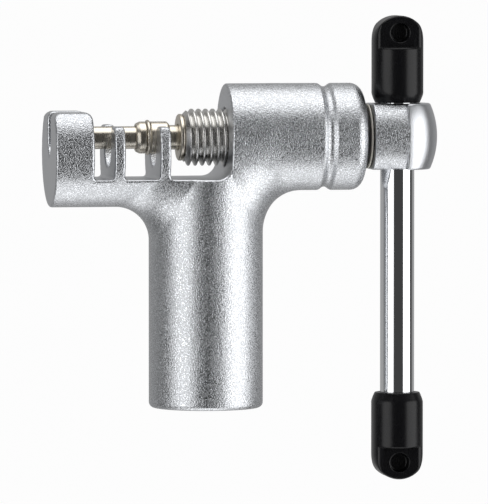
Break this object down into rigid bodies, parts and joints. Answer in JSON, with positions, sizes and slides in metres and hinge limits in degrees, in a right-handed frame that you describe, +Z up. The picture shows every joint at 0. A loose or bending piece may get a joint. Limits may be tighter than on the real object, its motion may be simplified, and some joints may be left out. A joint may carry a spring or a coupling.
{
  "type": "bicycle chain tool",
  "caption": "Hand screw press that pushes the rivet out of a bicycle chain, with a round stem, a notched cradle and a sliding tommy bar.",
  "frame": {"origin": "centre of the stem's flat end face", "axes": "+Z up the stem, +X along the drive screw towards its head, +Y from the front to the back"},
  "size_m": [0.0688, 0.02, 0.0816],
  "materials": {
    "cast_chrome": "satin pearl chrome over a fine blasted grain",
    "spindle_steel": "bright machined thread",
    "warm_steel": "bright turned steel with a warm tint",
    "polished_chrome": "polished",
    "dark_rubber": "matte",
    "pale_washer": "matte",
    "black_plastic": "gloss"
  },
  "bodies": {
    "frame": {"body": "cast_chrome"},
    "pin_carrier": {"pin_holder": "warm_steel", "drive_pin": "warm_steel", "pin_snap_ring": "warm_steel"},
    "spindle": {"spindle": "spindle_steel", "swivel_retainer": "warm_steel", "thrust_ball": "spindle_steel", "friction_o_ring": "dark_rubber", "thrust_washer": "pale_washer"},
    "t_bar": {"tommy_bar": "polished_chrome", "upper_grip_cap": "black_plastic", "lower_grip_cap": "black_plastic"}
  },
  "joints": [
    {"name": "pin_feed", "type": "slide", "parent": "frame", "child": "pin_carrier", "axis": [1, 0, 0], "range_m": [0, 0.01626]},
    {"name": "screw_turn", "type": "hinge", "parent": "pin_carrier", "child": "spindle", "pos_m": [0, 0, 0.0474], "axis": [1, 0, 0], "range_deg": [0, 4680]},
    {"name": "bar_slide", "type": "slide", "parent": "spindle", "child": "t_bar", "axis": [0, 0, 1], "range_m": [0, 0.0392]}
  ],
  "couplings": [
    {"joint": "pin_feed", "follows": "screw_turn", "m_per_rad": 0.00019894}
  ]
}
